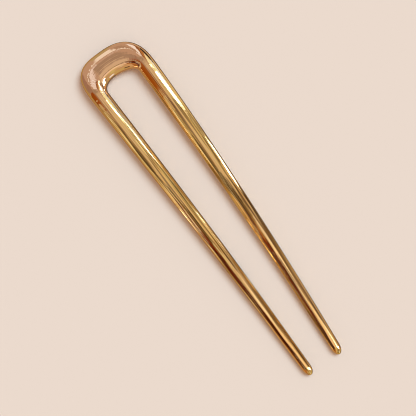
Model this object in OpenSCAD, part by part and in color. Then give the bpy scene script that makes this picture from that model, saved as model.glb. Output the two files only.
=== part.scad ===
// French hair pin: a single cast piece of gold-plated brass. A broad, domed
// bow narrows into two long prongs that run slightly together and end in
// round tips. The back is ground flat, and the pin lies on it.
// +Y points from the tips to the bow and +Z up. The origin is on the resting
// plane, below the middle of the outline's box.

/* [Outline] */
// Length from the top of the bow to the ends of the tips
pin_len = 115; // [95:1:140]
// Width across the shoulders, where the bow turns into the prongs
shoulder_w = 22.3; // [21:0.1:26]
// Clear gap between the prongs at the shoulders
shoulder_gap = 11.2; // [8:0.1:12]
// Clear gap between the prongs at the tips
tip_gap = 7.6; // [5:0.1:8]
// Width of a prong at its tip, before the end rounds off
tip_w = 2.9; // [2.4:0.1:3.6]
// Height of the bow's top above the shoulders
bow_rise = 11.4; // [10:0.1:15]
// Height of the gap's round end above the shoulders
gap_rise = 2.8; // [2.2:0.1:4.5]
// Length of the round end of a tip
tip_round = 2.6; // [1.4:0.1:3.4]

/* [Thickness] */
// Thickness at the top of the bow
bow_t = 4; // [3:0.1:6]
// Thickness at the shoulders
shoulder_t = 4.6; // [3.4:0.1:6]
// Thickness at the tips
tip_t = 2.5; // [2:0.1:3.2]

/* [Hand-worked irregularity] */
// How far the top of the bow leans to the -X side
bow_lean = 1; // [0:0.1:2]
// How far the gap's round end leans to the -X side
gap_lean = 0.85; // [0:0.05:1.2]
// How far both prongs swing out to the +X side on their way down
prong_sway = 0.45; // [0:0.05:0.8]

/* [Smoothness] */
// Stations along each prong
prong_steps = 28; // [12:1:40]
// Stations around each half of the bow
bow_steps = 16; // [10:1:30]
// Points around a section, a multiple of four
section_points = 32; // [16:4:40]

/* [Hidden] */

// Outline exponents: 2 is an ellipse, and more is squarer
BOW_EXP = 2.8;
GAP_EXP = 2;
// Exponents of the section's domed top: the top of the bow is nearly flat
BOW_CROWN_EXP = 3.4;
CROWN_EXP = 2.5;
TIP_CROWN_EXP = 2.1;
// Exponent of the rounded edges under the section's widest level
UNDER_EXP = 3.2;
// Height of the widest level, as a share of the thickness
WIDEST_AT = 0.42;
// How deep the rounded underside would run without the flat back, as a share
// of the widest level's height
UNDER_DEPTH = 1.07;
// Exponents of the tapers from the shoulders to the tips: 1 is straight, and
// more leaves the shoulder gently and tapers later
GAP_TAPER = 1.3;
WIDTH_TAPER = 1.15;
THICKNESS_TAPER = 1.3;
// Share of the prong's length at which the sway crosses back over
SWAY_CROSS = 0.77;
// Stations on the round end of a tip
TIP_STEPS = 6;

prong_len = pin_len - bow_rise;
bow_base = pin_len / 2 - bow_rise;
shoulder_prong_w = (shoulder_w - shoulder_gap) / 2;
tip_share = tip_round / prong_len;
// Slope of the sway where the prongs leave the shoulders
sway_slope = 4 * prong_sway / (SWAY_CROSS * prong_len);

function mix(a, b, share) = a + (b - a) * share;
function ease(share) = share * share * (3 - 2 * share);

// A station is [inner edge, outer edge, thickness, exponent of the dome, size].
// The size is that of the section, and only a tip's round end takes it below 1.

// A station of the prong on one side (-1 or 1), at a share of its length
function sway(share) =
    4 * prong_sway * (share / SWAY_CROSS) * (1 - share / SWAY_CROSS);
function prong_station(side, share, size = 1) =
    let (y = bow_base - share * prong_len,
         inner = mix(shoulder_gap, tip_gap, pow(share, GAP_TAPER)) / 2,
         outer = inner + mix(shoulder_prong_w, tip_w, pow(share, WIDTH_TAPER)))
    [[sway(share) + side * inner, y],
     [sway(share) + side * outer, y],
     mix(shoulder_t, tip_t, pow(share, THICKNESS_TAPER)),
     mix(CROWN_EXP, TIP_CROWN_EXP, share),
     size];

// The round end of a tip: sections that shrink along a quarter of an ellipse
function tip_station(side, angle) =
    prong_station(side, 1 - tip_share * (1 - sin(angle)), cos(angle));

// The point of a superellipse whose outward normal has a given angle
function facing_point(half_w, rise, exponent, angle) =
    angle >= 90 ? [0, rise] :
    let (slope = pow(tan(angle) * pow(rise / half_w, exponent), 1 / (exponent - 1)),
         x = pow(pow(half_w, -exponent) + pow(slope / rise, exponent), -1 / exponent))
    [x, slope * x];

// A point of one of the bow's two outlines, leaned over to the -X side
function bow_point(side, half_w, rise, exponent, lean, angle) =
    let (point = facing_point(half_w, rise, exponent, angle),
         y = point[1])
    [side * point[0] - sway_slope * y - lean * pow(y / rise, 2), bow_base + y];

// A station of the bow joins the points where both outlines face the same way
function bow_station(side, angle) =
    [bow_point(side, shoulder_gap / 2, gap_rise, GAP_EXP, gap_lean, angle),
     bow_point(side, shoulder_w / 2, bow_rise, BOW_EXP, bow_lean, angle),
     mix(shoulder_t, bow_t, ease(angle / 90)),
     mix(CROWN_EXP, BOW_CROWN_EXP, ease(angle / 90)),
     1];

// All stations of one side, from the tip to the top of the bow
function side_stations(side) = concat(
    [for (i = [TIP_STEPS - 1:-1:0]) tip_station(side, 90 * i / TIP_STEPS)],
    [for (i = [prong_steps - 1:-1:0]) prong_station(side, (1 - tip_share) * i / prong_steps)],
    [for (i = [1:bow_steps]) bow_station(side, 90 * ease(i / bow_steps))]);

// Left tip, left prong, bow, right prong and right tip
right_side = side_stations(1);
stations = concat(side_stations(-1),
    [for (i = [len(right_side) - 2:-1:0]) right_side[i]]);

// The middle of the outline's box, which the origin is below
outer_x = [for (s = stations) s[1][0]];
middle_x = (min(outer_x) + max(outer_x)) / 2;

// A superellipse's coordinate for a cosine or a sine
function soft(value, exponent) = sign(value) * pow(abs(value), 2 / exponent);

// The ring of points round a section of the casting: a dome from the outer edge
// to the inner one, then the rounded underside
function ring(station) =
    let (middle = (station[0] + station[1]) / 2,
         reach = (station[1] - station[0]) / 2,
         thickness = station[2],
         size = station[4],
         level = WIDEST_AT * thickness)
    [for (i = [0:section_points - 1])
        let (angle = 360 * i / section_points,
             on_dome = sin(angle) >= 0,
             exponent = on_dome ? station[3] : UNDER_EXP,
             up = soft(sin(angle), exponent),
             z = on_dome ? mix(level, thickness, up)
                         : level * (1 + UNDER_DEPTH * up),
             spot = middle + reach * soft(cos(angle), exponent) * size)
        [spot[0] - middle_x, spot[1], mix(level, z, size)]];

// The point that closes a tip
function pole(side) =
    let (end = prong_station(side, 1),
         middle = (end[0] + end[1]) / 2)
    [middle[0] - middle_x, middle[1], WIDEST_AT * end[2]];

// The casting before its back is ground, rounded all round
module casting() {
    rings = [for (s = stations) ring(s)];
    points = concat([pole(-1)], [for (r = rings) each r], [pole(1)]);
    last_ring = len(rings) - 1;
    last_point = len(points) - 1;
    around = [0:section_points - 1];
    function at(r, i) = 1 + r * section_points + i % section_points;
    left_cap = [for (i = around) [0, at(0, i), at(0, i + 1)]];
    right_cap = [for (i = around)
        [last_point, at(last_ring, i + 1), at(last_ring, i)]];
    walls = [for (r = [0:last_ring - 1], i = around)
        each [[at(r, i), at(r + 1, i), at(r, i + 1)],
              [at(r, i + 1), at(r + 1, i), at(r + 1, i + 1)]]];
    polyhedron(points = points, faces = concat(left_cap, walls, right_cap), convexity = 6);
}

module hair_pin() {
    color([0.83, 0.62, 0.33])
    difference() {
        casting();
        // What is ground off the back
        translate([-shoulder_w, -pin_len, -shoulder_t])
            cube([2 * shoulder_w, 2 * pin_len, shoulder_t]);
    }
}

hair_pin();
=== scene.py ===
import math

import bpy
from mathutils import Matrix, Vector


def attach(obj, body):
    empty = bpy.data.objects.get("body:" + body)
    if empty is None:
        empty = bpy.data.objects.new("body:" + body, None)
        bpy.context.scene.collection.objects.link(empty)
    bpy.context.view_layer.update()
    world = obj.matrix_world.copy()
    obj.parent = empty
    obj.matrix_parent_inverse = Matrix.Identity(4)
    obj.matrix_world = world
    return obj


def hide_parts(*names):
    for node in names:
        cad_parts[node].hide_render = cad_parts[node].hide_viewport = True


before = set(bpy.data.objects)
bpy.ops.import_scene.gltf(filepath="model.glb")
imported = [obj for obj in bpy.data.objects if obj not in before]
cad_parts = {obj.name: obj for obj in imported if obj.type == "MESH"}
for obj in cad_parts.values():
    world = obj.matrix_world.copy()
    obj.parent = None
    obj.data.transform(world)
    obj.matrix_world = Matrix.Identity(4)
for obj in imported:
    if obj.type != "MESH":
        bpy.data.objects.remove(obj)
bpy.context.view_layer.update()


# The hair pin: one piece of cast brass, filed, ground flat on the back, polished
# by hand and plated with gold. A broad domed bow narrows into two prongs that run
# slightly together and end in round tips.

MM = 0.001

# The outline and the thickness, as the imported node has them
PIN_LENGTH = 115 * MM
SHOULDER_WIDTH = 22.3 * MM
SHOULDER_GAP = 11.2 * MM
TIP_GAP = 7.6 * MM
TIP_WIDTH = 2.9 * MM
BOW_RISE = 11.4 * MM
GAP_RISE = 2.8 * MM
TIP_ROUND = 2.6 * MM
BOW_THICKNESS = 4 * MM
SHOULDER_THICKNESS = 4.6 * MM
TIP_THICKNESS = 2.5 * MM
BOW_LEAN = 1 * MM
GAP_LEAN = 0.85 * MM
PRONG_SWAY = 0.45 * MM
# Length round half the bow, from a shoulder to its top, just inside the outer edge
BOW_ARC = 17 * MM

# Outline exponents (2 is an ellipse, more is squarer), and those of the section
BOW_EXPONENT = 2.8
GAP_EXPONENT = 2
BOW_CROWN_EXPONENT = 3.4
CROWN_EXPONENT = 2.5
TIP_CROWN_EXPONENT = 2.1
UNDER_EXPONENT = 3.2
# Height of the widest level as a share of the thickness, and how far the casting
# reached below it before its back was ground
WIDEST_AT = 0.42
UNDER_DEPTH = 1.07
# Exponents of the tapers from the shoulders to the tips
GAP_TAPER = 1.3
WIDTH_TAPER = 1.15
THICKNESS_TAPER = 1.3
# Share of the prong's length at which its sway crosses back over
SWAY_CROSS = 0.77

# Rings of points from tip to tip, points on a ring, and the shares of half the
# rings that the bow and a tip's round end take
RINGS = 961
RING_POINTS = 96
BOW_SHARE = 0.3
TIP_SHARE = 0.05
MERGE_DISTANCE = 0.0005 * MM
# Keeps both ends of a section's dome on the dome
ROUNDING = 0.0001

# How deep the hand polishing dips into the metal, and over what width and length
POLISH_DIP = 0.08 * MM
POLISH_WIDTH = 5 * MM
POLISH_LENGTH = 26 * MM


class Wire:
    """A socket in Python expressions: each operator adds its Math node."""

    def __init__(self, tree, socket=None):
        self.tree = tree
        self.socket = socket

    def node(self, kind, settings, inputs, output=None):
        """Adds a node: its settings first, then its sockets' values or links."""
        made = self.tree.nodes.new(kind)
        for name, value in settings.items():
            setattr(made, name, value)
        for name, value in inputs.items():
            socket = next(s for s in made.inputs if s.identifier == name)
            if isinstance(value, Wire):
                self.tree.links.new(value.socket, socket)
            else:
                socket.default_value = value
        wanted = [s for s in made.outputs if output in (None, s.identifier)]
        return Wire(self.tree, wanted[0]) if wanted else None

    def math(self, operation, *others):
        names = ("Value", "Value_001", "Value_002")
        return self.node("ShaderNodeMath", {"operation": operation}, dict(zip(names, others)))

    def __add__(self, other):
        return self.math("ADD", self, other)

    def __radd__(self, other):
        return self.math("ADD", other, self)

    def __sub__(self, other):
        return self.math("SUBTRACT", self, other)

    def __rsub__(self, other):
        return self.math("SUBTRACT", other, self)

    def __mul__(self, other):
        return self.math("MULTIPLY", self, other)

    def __rmul__(self, other):
        return self.math("MULTIPLY", other, self)

    def __truediv__(self, other):
        return self.math("DIVIDE", self, other)

    def __rtruediv__(self, other):
        return self.math("DIVIDE", other, self)

    def __pow__(self, other):
        return self.math("POWER", self, other)

    def __gt__(self, other):
        return self.math("GREATER_THAN", self, other)

    def __neg__(self):
        return self.math("MULTIPLY", self, -1.0)

    def __abs__(self):
        return self.math("ABSOLUTE", self)

    def sign(self):
        return self.math("SIGN", self)

    def sin(self):
        return self.math("SINE", self)

    def cos(self):
        return self.math("COSINE", self)

    def most(self, other):
        return self.math("MAXIMUM", self, other)

    def share(self, start, end, kind="LINEAR"):
        """Where this value lies between two others, kept within 0 and 1."""
        inputs = {"Value": self, "From Min": start, "From Max": end, "To Min": 0.0, "To Max": 1.0}
        return self.node("ShaderNodeMapRange", {"interpolation_type": kind}, inputs)

    def ease(self, start, end):
        """The same with soft ends."""
        return self.share(start, end, "SMOOTHSTEP")

    def axes(self):
        """The three numbers of a vector."""
        made = self.tree.nodes.new("ShaderNodeSeparateXYZ")
        self.tree.links.new(self.socket, made.inputs[0])
        return [Wire(self.tree, output) for output in made.outputs]

    def vector(self, x, y, z):
        return self.node("ShaderNodeCombineXYZ", {}, {"X": x, "Y": y, "Z": z})

    def blend(self, under, over):
        """A colour over another, with this value as the mask."""
        inputs = {"Factor_Float": self, "A_Color": under, "B_Color": over}
        return self.node("ShaderNodeMix", {"data_type": "RGBA"}, inputs, "Result_Color")

    def noise(self, detail, roughness):
        """Noise at this vector, from 0 to 1."""
        inputs = {"Vector": self, "Scale": 1.0, "Detail": detail, "Roughness": roughness}
        return self.node("ShaderNodeTexNoise", {}, inputs)


def mix(start, end, share):
    return start + (end - start) * share


pin_shape = bpy.data.node_groups.new("hair_pin_shape", "GeometryNodeTree")
pin_sizes = {
    "Pin length": PIN_LENGTH,
    "Shoulder width": SHOULDER_WIDTH,
    "Shoulder gap": SHOULDER_GAP,
    "Tip gap": TIP_GAP,
    "Tip width": TIP_WIDTH,
    "Bow rise": BOW_RISE,
    "Gap rise": GAP_RISE,
    "Tip round": TIP_ROUND,
    "Bow thickness": BOW_THICKNESS,
    "Shoulder thickness": SHOULDER_THICKNESS,
    "Tip thickness": TIP_THICKNESS,
    "Bow lean": BOW_LEAN,
    "Gap lean": GAP_LEAN,
    "Prong sway": PRONG_SWAY,
    "Middle": 0.0,
    "Polish dip": POLISH_DIP,
}
for name in pin_sizes:
    pin_shape.interface.new_socket(name, in_out="INPUT", socket_type="NodeSocketFloat")
pin_shape.interface.new_socket("Material", in_out="INPUT", socket_type="NodeSocketMaterial")
pin_shape.interface.new_socket("Geometry", in_out="OUTPUT", socket_type="NodeSocketGeometry")
given = pin_shape.nodes.new("NodeGroupInput")
make = Wire(pin_shape)
size = {name: Wire(pin_shape, given.outputs[name]) for name in pin_sizes}

# The grid of points: X runs from the left tip (-1) over the bow (0) to the right
# tip (1), and Y once round the section
grid = make.node(
    "GeometryNodeMeshGrid", {},
    {"Size X": 2.0, "Size Y": 1.0, "Vertices X": RINGS, "Vertices Y": RING_POINTS + 1},
)
place = make.node("GeometryNodeInputPosition", {}, {}).axes()
side = place[0].sign()
run = abs(place[0])
bow_turn = 1 - run.ease(0.0, BOW_SHARE)
bow_angle = bow_turn * math.pi / 2
tip_angle = run.share(1 - TIP_SHARE, 1.0) * math.pi / 2
shrink = tip_angle.cos().most(0.0)

# How far down the prong, from 0 at the shoulder to 1 at the tip's end
prong_length = size["Pin length"] - size["Bow rise"]
tip_length = size["Tip round"] / prong_length
down = run.share(BOW_SHARE, 1 - TIP_SHARE) * (1 - tip_length) + tip_angle.sin() * tip_length


def facing_point(half_width, rise, exponent, angle):
    """The point of a superellipse whose outward normal has a given angle."""
    power = 1 / (exponent - 1)
    x = (half_width / rise * angle.cos().most(0.0)) ** power
    y = angle.sin() ** power
    reach = (x ** exponent + y ** exponent) ** (-1 / exponent)
    return half_width * reach * x, rise * reach * y


# The edges of the gap and of the outline
sway_slope = 4 * size["Prong sway"] / (SWAY_CROSS * prong_length)
sway = 4 * size["Prong sway"] * (down / SWAY_CROSS) * (1 - down / SWAY_CROSS)
bow_base = size["Pin length"] / 2 - size["Bow rise"]
gap_narrowing = (size["Tip gap"] - size["Shoulder gap"]) / 2 * down ** GAP_TAPER
shoulder_prong = (size["Shoulder width"] - size["Shoulder gap"]) / 2
prong_narrowing = (size["Tip width"] - shoulder_prong) * down ** WIDTH_TAPER


def edge(width, rise, exponent, lean, narrowing):
    """X and Y of one edge, from the tip round the bow to the other tip."""
    x, y = facing_point(width / 2, rise, exponent, bow_angle)
    swing = sway - sway_slope * y - lean * (y / rise) ** 2
    return side * (x + narrowing) + swing, bow_base + y - down * prong_length


inner = edge(size["Shoulder gap"], size["Gap rise"], GAP_EXPONENT, size["Gap lean"], gap_narrowing)
outer = edge(
    size["Shoulder width"], size["Bow rise"], BOW_EXPONENT, size["Bow lean"],
    gap_narrowing + prong_narrowing,
)

# The section: a dome over rounded lower edges and the ground back
tip_thinning = (size["Tip thickness"] - size["Shoulder thickness"]) * down ** THICKNESS_TAPER
bow_thinning = (size["Bow thickness"] - size["Shoulder thickness"]) * bow_turn.ease(0.0, 1.0)
thickness = size["Shoulder thickness"] + tip_thinning + bow_thinning
level = thickness * WIDEST_AT
turn = math.pi - place[1] * math.tau
on_dome = turn.sin() > -ROUNDING
prong_dome = mix(CROWN_EXPONENT, TIP_CROWN_EXPONENT, down)
dome_exponent = prong_dome + (BOW_CROWN_EXPONENT - CROWN_EXPONENT) * bow_turn.ease(0.0, 1.0)
exponent = mix(UNDER_EXPONENT, dome_exponent, on_dome)


def soft(value):
    return value.sign() * abs(value) ** (2 / exponent)


up = soft(turn.sin())
across = soft(turn.cos())
dome = mix(level, thickness, up)
underside = (level * (1 + up * UNDER_DEPTH)).most(0.0)
height = mix(level, mix(underside, dome, on_dome), shrink)
half_share = across * shrink / 2
point_x = (inner[0] + outer[0]) / 2 + (outer[0] - inner[0]) * half_share
point_y = (inner[1] + outer[1]) / 2 + (outer[1] - inner[1]) * half_share

# Distances that the polishing follows: across the metal, up it and along it. They
# are stored while the grid is still flat.
along = side * (1 - bow_turn) * BOW_ARC + side * down * prong_length
half_width = ((outer[0] - inner[0]) ** 2 + (outer[1] - inner[1]) ** 2) ** 0.5 / 2
sweep = make.vector(across * half_width * shrink, height, along)
stored = make.node(
    "GeometryNodeStoreNamedAttribute",
    {"data_type": "FLOAT_VECTOR", "domain": "POINT"},
    {"Geometry": grid, "Name": "sweep", "Value": sweep},
)
shaped = make.node(
    "GeometryNodeSetPosition", {},
    {"Geometry": stored, "Position": make.vector(point_x - size["Middle"], point_y, height)},
)
closed = make.node(
    "GeometryNodeMergeByDistance", {}, {"Geometry": shaped, "Distance": MERGE_DISTANCE}
)

# The polishing takes off a little more metal here and there, but none of the back
spot = make.node(
    "GeometryNodeInputNamedAttribute", {"data_type": "FLOAT_VECTOR"}, {"Name": "sweep"}, "Attribute"
)
waves = make.node(
    "ShaderNodeVectorMath", {"operation": "MULTIPLY"},
    {"Vector": spot, "Vector_001": (1 / POLISH_WIDTH, 1 / POLISH_WIDTH, 1 / POLISH_LENGTH)},
).noise(1.0, 0.4)
dip = waves.share(0.25, 0.75) * spot.axes()[1].ease(0.0, WIDEST_AT * TIP_THICKNESS)
outward = make.node("GeometryNodeInputNormal", {}, {})
offset = make.node(
    "ShaderNodeVectorMath", {"operation": "SCALE"},
    {"Vector": outward, "Scale": -(dip * size["Polish dip"])},
)
polished = make.node("GeometryNodeSetPosition", {}, {"Geometry": closed, "Offset": offset})
smooth = make.node("GeometryNodeSetShadeSmooth", {}, {"Geometry": polished})
real = make.node("GeometryNodeRealizeInstances", {}, {"Geometry": smooth})
plated = make.node(
    "GeometryNodeSetMaterial", {},
    {"Geometry": real, "Material": Wire(pin_shape, given.outputs["Material"])},
)
out = pin_shape.nodes.new("NodeGroupOutput")
pin_shape.links.new(plated.socket, out.inputs["Geometry"])

# Gold plate: yellow gold, polished bright, with fine lines along the prongs from the polishing
# and small ripples on the bow in its relief. The colour adds a rose tinge on the bow, partly a
# painted reflection of the pink room, and painted dark and light streaks along the prongs in place
# of reflections
GOLD = (0.94, 0.63, 0.28, 1)
# A rose tinge for the bow: partly the metal's own tone, partly a painted reflection of the pink room
ROSE_GOLD = (0.93, 0.61, 0.38, 1)
# Painted glints: a lighter gold for streaks along the prongs that stand in for highlights
PAINTED_GLINT_GOLD = (1.0, 0.76, 0.38, 1)
# Painted dark reflections: a dark brown for streaks along the prongs that stand in for the dark
# lines the metal mirrors; they have no relief
PAINTED_DARK_STREAK = (0.28, 0.16, 0.07, 1)
ROUGHNESS = 0.03
HAIRLINE_ROUGHNESS = 0.05

# Width and length of each kind of mark
DRAW_LINE = (0.9 * MM, 36 * MM)
# The streaks of painted dark reflections and painted glints
STREAK = (0.5 * MM, 24 * MM)
HAIRLINE = (0.12 * MM, 6 * MM)
RIPPLE = (3 * MM, 1.8 * MM)

# How much of each there is, on the bow and on the prongs
DRAW_LINE_RELIEF = (0.3, 2.5)
RIPPLE_RELIEF = (0.45, 0.1)
HAIRLINE_RELIEF = 0.04
RELIEF_HEIGHT = 0.05 * MM
# How strong the painted dark streaks are on the bow and on the prongs, and how far they darken the
# colour
PAINTED_DARK_AMOUNT = (0.1, 1.0)
PAINTED_DARK_SHARE = 0.72
# How far the painted glints lighten the colour
PAINTED_GLINT_SHARE = 0.6

polished_gold = bpy.data.materials.new("polished_gold")
polished_gold.use_nodes = True
polished_gold.node_tree.nodes.clear()
paint = Wire(polished_gold.node_tree)
swept = paint.node("ShaderNodeAttribute", {"attribute_name": "sweep"}, {}, "Vector")
sweep_axes = swept.axes()


def marks(width, length, detail=1.0):
    """Noise that runs along the metal, drawn out to the size of a mark."""
    across_metal, up_metal, along_metal = sweep_axes
    drawn_out = paint.vector(across_metal / width, up_metal / width, along_metal / length)
    return drawn_out.noise(detail, 0.5)


draw_lines = marks(*DRAW_LINE)
hairlines = marks(*HAIRLINE, detail=2.0)
ripples = marks(*RIPPLE)
from_top = abs(sweep_axes[2])
on_prong = from_top.ease(0.9 * BOW_ARC, 1.5 * BOW_ARC)
lines_relief = draw_lines * mix(*DRAW_LINE_RELIEF, on_prong) + hairlines * HAIRLINE_RELIEF
relief = lines_relief + ripples * mix(*RIPPLE_RELIEF, on_prong)
bump = paint.node(
    "ShaderNodeBump", {}, {"Strength": 1.0, "Distance": RELIEF_HEIGHT, "Height": relief}
)
# Where the bow takes the rose tinge, partly a painted reflection of the pink room
rose_and_pink_reflection = 1 - from_top.ease(0.6 * BOW_ARC, 1.6 * BOW_ARC)
# Painted dark streaks along the prongs, in place of dark reflections; they have no relief
streak_noise = marks(*STREAK)
painted_dark_streaks = streak_noise.ease(0.55, 0.62) * mix(*PAINTED_DARK_AMOUNT, on_prong)
# Painted glints along the prongs: lighter streaks of colour in place of highlights
painted_glints = streak_noise.ease(0.46, 0.38) * on_prong
glinted_plate = (painted_glints * PAINTED_GLINT_SHARE).blend(rose_and_pink_reflection.blend(GOLD, ROSE_GOLD), PAINTED_GLINT_GOLD)
shader = paint.node(
    "ShaderNodeBsdfPrincipled", {},
    {
        "Base Color": (painted_dark_streaks * PAINTED_DARK_SHARE).blend(glinted_plate, PAINTED_DARK_STREAK),
        "Metallic": 1.0,
        "Roughness": ROUGHNESS + hairlines.share(0.5, 0.8) * HAIRLINE_ROUGHNESS,
        "Normal": bump,
    },
)
paint.node("ShaderNodeOutputMaterial", {}, {"Surface": shader})

# The middle of the outer edges, which the origin is below: the sway and the lean
# move the widest places a little off the prongs' own middle
MIDDLE = -0.0235 * MM

blank = bpy.data.meshes.new("hair_pin_blank")
hair_pin = bpy.data.objects.new("gold_hair_pin", blank)
bpy.context.scene.collection.objects.link(hair_pin)
shaping = hair_pin.modifiers.new("shape", "NODES")
shaping.node_group = pin_shape
pin_sizes["Middle"] = MIDDLE
for item in pin_shape.interface.items_tree:
    if item.in_out == "INPUT":
        shaping[item.identifier] = polished_gold if item.name == "Material" else pin_sizes[item.name]
evaluated = hair_pin.evaluated_get(bpy.context.evaluated_depsgraph_get())
hair_pin_mesh = bpy.data.meshes.new_from_object(evaluated)
hair_pin.modifiers.clear()
hair_pin.data = hair_pin_mesh
# The new mesh has an empty first slot, which no face uses
hair_pin_mesh.materials.clear()
hair_pin_mesh.materials.append(polished_gold)
for face in hair_pin_mesh.polygons:
    face.material_index = 0
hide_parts("hair_pin")
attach(hair_pin, "root")


# The table: a plain sheet of pale pink paper that the pin lies on. It is only seen
# from above, so that the back of the pin shows from below.

PAPER = (0.831, 0.701, 0.610, 1)
PAPER_HALF = 0.9
PAPER_DROP = 0.01 * MM

paper_mesh = bpy.data.meshes.new("paper")
corners = [(-1, -1), (1, -1), (1, 1), (-1, 1)]
points = [(x * PAPER_HALF, y * PAPER_HALF, -PAPER_DROP) for x, y in corners]
paper_mesh.from_pydata(points, [], [(0, 1, 2, 3)])
paper = bpy.data.objects.new("paper", paper_mesh)
bpy.context.scene.collection.objects.link(paper)
paper_matt = bpy.data.materials.new("paper_matt")
paper_matt.use_nodes = True
paper_matt.node_tree.nodes.clear()
sheet = Wire(paper_matt.node_tree)
from_below = sheet.node("ShaderNodeNewGeometry", {}, {}, "Backfacing")
matt = sheet.node("ShaderNodeBsdfDiffuse", {}, {"Color": PAPER})
clear = sheet.node("ShaderNodeBsdfTransparent", {}, {})
paper_shader = sheet.node(
    "ShaderNodeMixShader", {}, {"Fac": from_below, "Shader": matt, "Shader_001": clear}
)
sheet.node("ShaderNodeOutputMaterial", {}, {"Surface": paper_shader})
paper_mesh.materials.append(paper_matt)
paper.visible_glossy = False


# The studio: a soft lamp on the pin's right that casts the shadow, plain pale light
# on the paper, and the panels round the table that the bright metal mirrors.

scene = bpy.context.scene
scene.view_settings.view_transform = "Standard"
scene.view_settings.look = "None"
scene.cycles.filter_width = 1.0

# The lamp's share of the light on the paper; the rest comes from all round, and is
# warmer, so that the shadow is too
LAMP_SHARE = (0.39, 0.54, 0.64)
LAMP_AZIMUTH = math.radians(9)
LAMP_HEIGHT = math.radians(57)
LAMP_SPREAD = math.radians(36)
lamp_data = bpy.data.lights.new("soft_lamp", "SUN")
lamp_data.energy = math.pi / math.sin(LAMP_HEIGHT)
lamp_data.color = LAMP_SHARE
lamp_data.angle = LAMP_SPREAD
lamp = bpy.data.objects.new("soft_lamp", lamp_data)
scene.collection.objects.link(lamp)
towards_lamp = Vector((
    math.cos(LAMP_AZIMUTH) * math.cos(LAMP_HEIGHT),
    math.sin(LAMP_AZIMUTH) * math.cos(LAMP_HEIGHT),
    math.sin(LAMP_HEIGHT),
))
lamp.rotation_mode = "QUATERNION"
lamp.rotation_quaternion = towards_lamp.to_track_quat("Z", "Y")
lamp.visible_glossy = False

world = bpy.data.worlds.new("studio")
scene.world = world
world.use_nodes = True
world.node_tree.nodes.clear()
studio = Wire(world.node_tree)

# A chart of the studio as the pin sees it, in degrees: straight up is at the middle,
# and the distance from there is the angle from straight up
NEARLY_ZERO = 0.000001
direction = studio.node("ShaderNodeTexCoord", {}, {}, "Generated")
towards = direction.axes()
from_zenith = towards[2].math("ARCCOSINE", towards[2]) * math.degrees(1)
flat_length = (towards[0] * towards[0] + towards[1] * towards[1]).most(NEARLY_ZERO) ** 0.5
chart_x = towards[0] / flat_length * from_zenith
chart_y = towards[1] / flat_length * from_zenith
azimuth = towards[1].math("ARCTAN2", towards[1], towards[0]) * math.degrees(1)


def inside(distance, half, blur):
    """1 within a distance of a middle, falling to 0 over the blur."""
    return 1 - distance.ease(half - blur / 2, half + blur / 2)


def panel(under, colour, x, y, width, height, blur=2.0, lean=0.0):
    """A soft-edged panel on the chart, over what is there, which may lean."""
    in_width = inside(abs(chart_x - x - (chart_y - y) * lean), width / 2, blur * 2)
    in_height = inside(abs(chart_y - y), height / 2, blur)
    return (in_width * in_height).blend(under, colour)


def sector(under, colour, middle, spread, start, end, blur=4.0):
    """A soft-edged part of a ring round the zenith, over what is there."""
    off_middle = azimuth - middle
    turned = off_middle.math("WRAP", off_middle, 180.0, -180.0)
    in_spread = inside(abs(turned), spread / 2, blur)
    in_ring = inside(abs(from_zenith - (start + end) / 2), (end - start) / 2, blur)
    return (in_spread * in_ring).blend(under, colour)


def shown(red, green, blue, metal=GOLD):
    """The light that the metal shows as a given colour, whose parts run to 255."""
    light = []
    for part, tint in zip((red, green, blue), metal):
        part = part / 255
        linear = part / 12.92 if part <= 0.04045 else ((part + 0.055) / 1.055) ** 2.4
        light.append(linear / tint)
    return (*light, 1)


ROOM = shown(212, 163, 92)
WINDOW = (6.0, 6.5, 7.5, 1)

# Overhead, which the crown of the bow shows
look = chart_y.ease(-2.0, -5.0).blend(ROOM, shown(198, 142, 78))
look = panel(look, shown(208, 161, 118, ROSE_GOLD), -3, 1.5, 32, 22, 5)
look = panel(look, shown(218, 178, 124, ROSE_GOLD), -7.5, -19, 4, 18, 3, 0.235)
look = panel(look, shown(206, 166, 94, ROSE_GOLD), 0.5, -22, 7, 36, 4)
look = panel(look, shown(178, 148, 82, ROSE_GOLD), 10, -14, 12, 16, 5)

# The pink side of the room, past the bow: a pale band, and light and dark ones to
# its right
look = sector(look, shown(188, 138, 102, ROSE_GOLD), 90, 150, 12, 100, 5)
look = sector(look, shown(158, 108, 78, ROSE_GOLD), 148, 46, 13, 98, 10)
look = sector(look, shown(240, 205, 172, ROSE_GOLD), 88, 8, 22, 46, 2)
look = sector(look, shown(182, 142, 90, ROSE_GOLD), 90, 10, 46, 112, 3)
look = sector(look, shown(172, 126, 92, ROSE_GOLD), 78, 9, 20, 46, 3)
look = sector(look, shown(246, 216, 192, ROSE_GOLD), 53, 18, 22, 64)
look = sector(look, shown(150, 88, 46, ROSE_GOLD), 39, 12, 20, 82)
look = sector(look, shown(180, 108, 52, ROSE_GOLD), 29, 12, 24, 62)
look = sector(look, shown(244, 212, 154, ROSE_GOLD), 17, 14, 16, 52)
look = sector(look, shown(66, 48, 28, ROSE_GOLD), 19, 24, 64, 94)
look = panel(look, shown(164, 122, 90, ROSE_GOLD), -5, 11.4, 20, 4, 3)
look = panel(look, shown(232, 194, 168, ROSE_GOLD), 7, 16.5, 12, 6, 1.4)
look = sector(look, shown(168, 126, 64, ROSE_GOLD), 130, 100, 86, 112)

# The side that the gap faces: warm on the left, and a window on the right
look = sector(look, shown(194, 148, 82, ROSE_GOLD), 270, 90, 44, 112, 8)
look = sector(look, shown(170, 98, 34), 205, 46, 14, 90, 8)
look = sector(look, shown(206, 148, 76), 232, 22, 30, 90, 8)
look = sector(look, shown(110, 72, 40), 245, 14, 58, 82)
look = sector(look, WINDOW, -42, 34, 22, 62, 5)
look = sector(look, shown(172, 132, 80), -58, 14, 28, 80, 6)
look = sector(look, shown(240, 214, 166), -83, 12, 54, 86)

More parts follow.
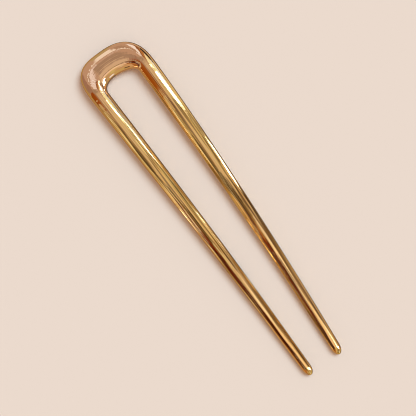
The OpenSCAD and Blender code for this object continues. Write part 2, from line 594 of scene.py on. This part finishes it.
# The strip across the room that the prongs show, from the shoulders' end of it: a
# deep orange wall on the left and a window on the right
look = panel(look, shown(148, 66, 10), -54, 9.3, 60, 5.6, 1)
look = panel(look, shown(154, 78, 22), -26, 7.5, 18, 4.2, 1.2)
look = panel(look, shown(242, 214, 164), 62, 9, 22, 6)
look = panel(look, shown(162, 130, 88), 86, 11, 20, 6)
look = panel(look, WINDOW, 38, 5.8, 30, 3.9, 1.2, -4)

# The same strip further on, with a second window low on each side
look = panel(look, shown(190, 150, 84), 46, 1.2, 46, 4.4)
look = panel(look, shown(158, 120, 68), 86, 1.8, 34, 5.2)
look = panel(look, shown(232, 184, 108), -76, -0.4, 30, 6.4)
look = panel(look, shown(136, 96, 46), -49, 0.8, 22, 3.6, 1.2)
look = panel(look, shown(108, 76, 38), -26, -1, 16, 7, 1.2, -7.5)
look = panel(look, WINDOW, 91, -2.5, 28, 5, 1)
look = panel(look, WINDOW, -98, -4.6, 14, 2.2, 0.8)
look = panel(look, shown(212, 160, 94), -92, -7.4, 26, 4.6)

# Its far end, which the tips show: brown on the right, dark red on the left, and
# pale in the middle
look = panel(look, shown(188, 144, 90), 50, -7, 60, 4)
look = panel(look, shown(126, 86, 48), 68, -11.6, 56, 8.6)
look = panel(look, shown(186, 148, 106), 60, -18, 60, 4)
look = panel(look, shown(98, 60, 32), 92, -10.4, 30, 11)
look = panel(look, shown(114, 34, 4), -46, -4.3, 46, 3.6, 1)
look = panel(look, shown(96, 26, 3), -42, -7.8, 64, 5.4, 1.2)
look = panel(look, shown(84, 26, 4), -50, -12.2, 64, 6.2, 1.4)
look = panel(look, shown(156, 116, 66), 4, -4.2, 18, 1.8, 1)
look = panel(look, shown(222, 174, 118), 10, -6.2, 18, 2.6, 1.4)
look = panel(look, shown(250, 202, 136), 9, -8.8, 28, 3.2)
look = panel(look, shown(240, 184, 114), 8, -12.4, 44, 4.6)

# The clutter along the strip, which the polished metal draws out into fine lines
CLUTTER_WIDTH = 26.0
CLUTTER_HEIGHT = 4.0
STRIP_MIDDLE = -5.5
STRIP_HALF = 11.0
clutter = studio.vector(chart_x / CLUTTER_WIDTH, chart_y / CLUTTER_HEIGHT, 0.0).noise(2.0, 0.6)
in_strip = inside(abs(chart_y - STRIP_MIDDLE), STRIP_HALF, 2.0) * from_zenith.ease(10.0, 24.0)
look = (clutter.ease(0.52, 0.6) * in_strip * 0.7).blend(look, shown(96, 66, 30))
look = (clutter.ease(0.44, 0.36) * in_strip * 0.75).blend(look, shown(250, 214, 146))

# The table round the pin, warm on its left and a darker brown on its right
table = (towards[0] > 0).blend(shown(170, 112, 52), shown(128, 92, 54))
look = from_zenith.ease(108.0, 122.0).blend(look, table)

# The metal mirrors the look of the studio, the camera sees more of the paper where
# the sheet ends, and everything else gets plain light from all round
AMBIENT = tuple(1 - share for share in LAMP_SHARE) + (1,)
metal_sees = studio.node("ShaderNodeLightPath", {}, {}, "Is Glossy Ray")
camera_sees = studio.node("ShaderNodeLightPath", {}, {}, "Is Camera Ray")
light = metal_sees.blend(camera_sees.blend(AMBIENT, PAPER), look)
background = studio.node("ShaderNodeBackground", {}, {"Color": light, "Strength": 1.0})
studio.node("ShaderNodeOutputWorld", {}, {"Surface": background})


# The camera: straight above, and turned so that the pin lies across the picture from
# the upper left to the lower right.

CAMERA_HEIGHT = 320 * MM
FRAME_WIDTH = 123.94 * MM
CAMERA_X = -1.78 * MM
CAMERA_Y = 0.93 * MM
CAMERA_TURN = math.radians(-35.9)

camera_data = bpy.data.cameras.new("camera")
camera_data.sensor_width = 36
camera_data.lens = camera_data.sensor_width * CAMERA_HEIGHT / FRAME_WIDTH
camera_data.clip_start = 0.01
camera_data.clip_end = 10
camera = bpy.data.objects.new("camera", camera_data)
camera.location = (CAMERA_X, CAMERA_Y, CAMERA_HEIGHT + WIDEST_AT * SHOULDER_THICKNESS)
camera.rotation_euler = (0, 0, CAMERA_TURN)
scene.collection.objects.link(camera)
scene.camera = camera
